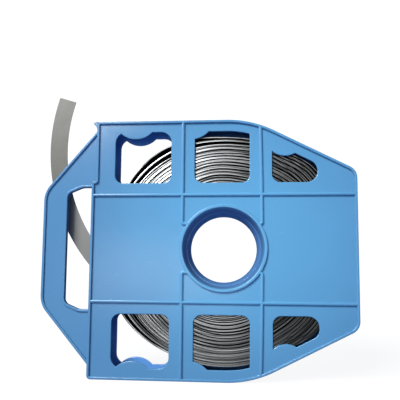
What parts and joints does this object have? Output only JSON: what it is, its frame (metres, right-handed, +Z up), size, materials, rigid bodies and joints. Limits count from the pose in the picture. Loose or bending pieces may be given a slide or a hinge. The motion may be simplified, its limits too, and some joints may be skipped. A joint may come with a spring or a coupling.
{
  "type": "steel strapping coil in carry tote",
  "caption": "Coil of steel strapping on the hub of a ribbed blue plastic carry tote with windows and a handle, its strap end pulled out through a side slot.",
  "frame": {"origin": "on the straight lower edge, below the centre of the hub and halfway between the shells", "axes": "+X away from the handle, +Y from the front face to the back face along the hub's axis, +Z up"},
  "size_m": [0.3253, 0.0286, 0.3015],
  "materials": {
    "shell_plastic": "satin moulded polypropylene, sky blue",
    "strap_steel": "cold-rolled stainless strap, dull"
  },
  "bodies": {
    "root": {"front_shell": "shell_plastic", "back_shell": "shell_plastic", "strap_coil": "strap_steel"}
  },
  "joints": []
}
